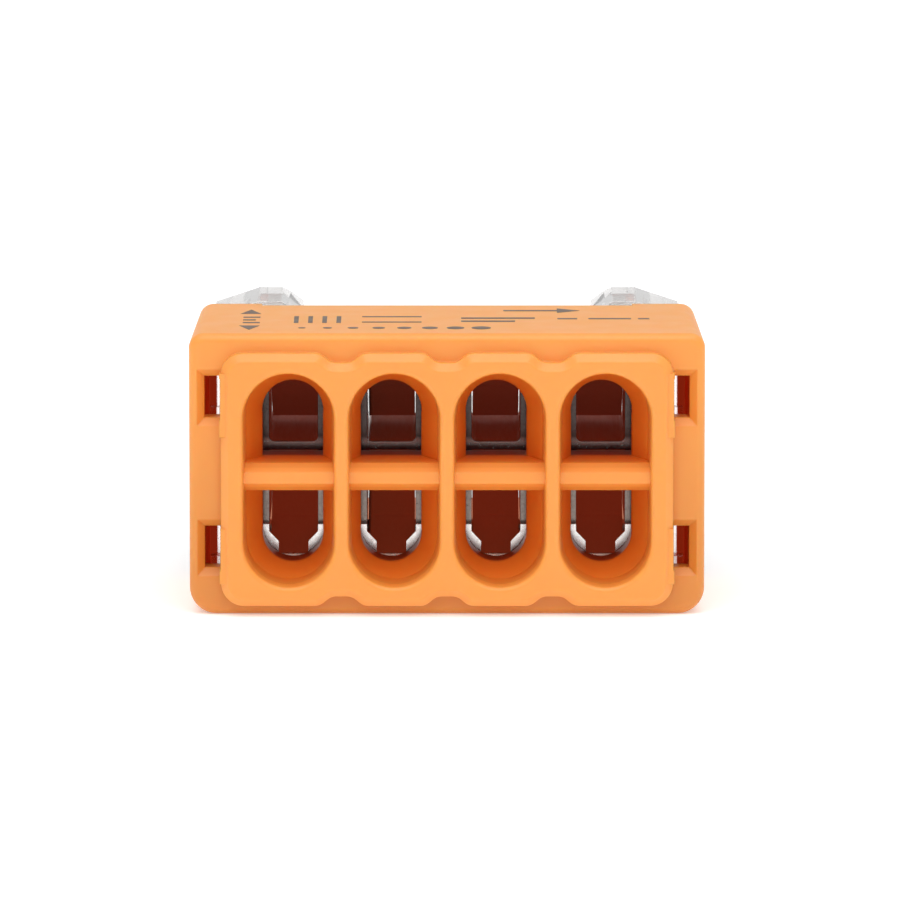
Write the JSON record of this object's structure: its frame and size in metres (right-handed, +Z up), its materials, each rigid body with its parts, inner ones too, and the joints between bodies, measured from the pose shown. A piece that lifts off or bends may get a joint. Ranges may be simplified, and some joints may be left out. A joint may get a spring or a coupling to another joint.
{
  "type": "push-in wire connector",
  "caption": "Push-in splicing connector: orange front cover with funnel ports in two rows on a clear rear housing, with spring clamps on a common busbar.",
  "frame": {"origin": "middle of the footprint, on the surface the connector rests on", "axes": "+X across the four columns of ports, +Y from the ports back to the rear end, +Z up"},
  "size_m": [0.018, 0.017, 0.01],
  "materials": {
    "orange_plastic": "fine spark-eroded satin, slightly translucent",
    "clear_plastic": "clear moulded polycarbonate",
    "tinned_copper": "bright tin plate",
    "spring_steel": "polished stainless strip"
  },
  "bodies": {
    "root": {"front_cover": "orange_plastic", "clear_housing": "clear_plastic", "busbar": "tinned_copper", "contact_cage_1": "tinned_copper", "contact_cage_2": "tinned_copper", "contact_cage_3": "tinned_copper", "contact_cage_4": "tinned_copper", "spring_leg_upper_1": "spring_steel", "spring_leg_upper_2": "spring_steel", "spring_leg_upper_3": "spring_steel", "spring_leg_upper_4": "spring_steel", "spring_leg_lower_1": "spring_steel", "spring_leg_lower_2": "spring_steel", "spring_leg_lower_3": "spring_steel", "spring_leg_lower_4": "spring_steel"},
    "clamp_upper_1": {"spring_tongue_upper_1": "spring_steel"},
    "clamp_upper_2": {"spring_tongue_upper_2": "spring_steel"},
    "clamp_upper_3": {"spring_tongue_upper_3": "spring_steel"},
    "clamp_upper_4": {"spring_tongue_upper_4": "spring_steel"},
    "clamp_lower_1": {"spring_tongue_lower_1": "spring_steel"},
    "clamp_lower_2": {"spring_tongue_lower_2": "spring_steel"},
    "clamp_lower_3": {"spring_tongue_lower_3": "spring_steel"},
    "clamp_lower_4": {"spring_tongue_lower_4": "spring_steel"}
  },
  "joints": [
    {"name": "clamp_upper_1_lift", "type": "hinge", "parent": "root", "child": "clamp_upper_1", "pos_m": [-0.00543, -0.0042, 0.00835], "axis": [1, 0, 0], "range_deg": [0, 21], "stiffness_Nm_per_rad": 0.02},
    {"name": "clamp_upper_2_lift", "type": "hinge", "parent": "root", "child": "clamp_upper_2", "pos_m": [-0.00197, -0.0042, 0.00835], "axis": [1, 0, 0], "range_deg": [0, 21], "stiffness_Nm_per_rad": 0.02},
    {"name": "clamp_upper_3_lift", "type": "hinge", "parent": "root", "child": "clamp_upper_3", "pos_m": [0.00173, -0.0042, 0.00835], "axis": [1, 0, 0], "range_deg": [0, 21], "stiffness_Nm_per_rad": 0.02},
    {"name": "clamp_upper_4_lift", "type": "hinge", "parent": "root", "child": "clamp_upper_4", "pos_m": [0.00543, -0.0042, 0.00835], "axis": [1, 0, 0], "range_deg": [0, 21], "stiffness_Nm_per_rad": 0.02},
    {"name": "clamp_lower_1_lift", "type": "hinge", "parent": "root", "child": "clamp_lower_1", "pos_m": [-0.00543, -0.0042, 0.00135], "axis": [-1, 0, 0], "range_deg": [0, 21], "stiffness_Nm_per_rad": 0.02},
    {"name": "clamp_lower_2_lift", "type": "hinge", "parent": "root", "child": "clamp_lower_2", "pos_m": [-0.00197, -0.0042, 0.00135], "axis": [-1, 0, 0], "range_deg": [0, 21], "stiffness_Nm_per_rad": 0.02},
    {"name": "clamp_lower_3_lift", "type": "hinge", "parent": "root", "child": "clamp_lower_3", "pos_m": [0.00173, -0.0042, 0.00135], "axis": [-1, 0, 0], "range_deg": [0, 21], "stiffness_Nm_per_rad": 0.02},
    {"name": "clamp_lower_4_lift", "type": "hinge", "parent": "root", "child": "clamp_lower_4", "pos_m": [0.00543, -0.0042, 0.00135], "axis": [-1, 0, 0], "range_deg": [0, 21], "stiffness_Nm_per_rad": 0.02}
  ]
}
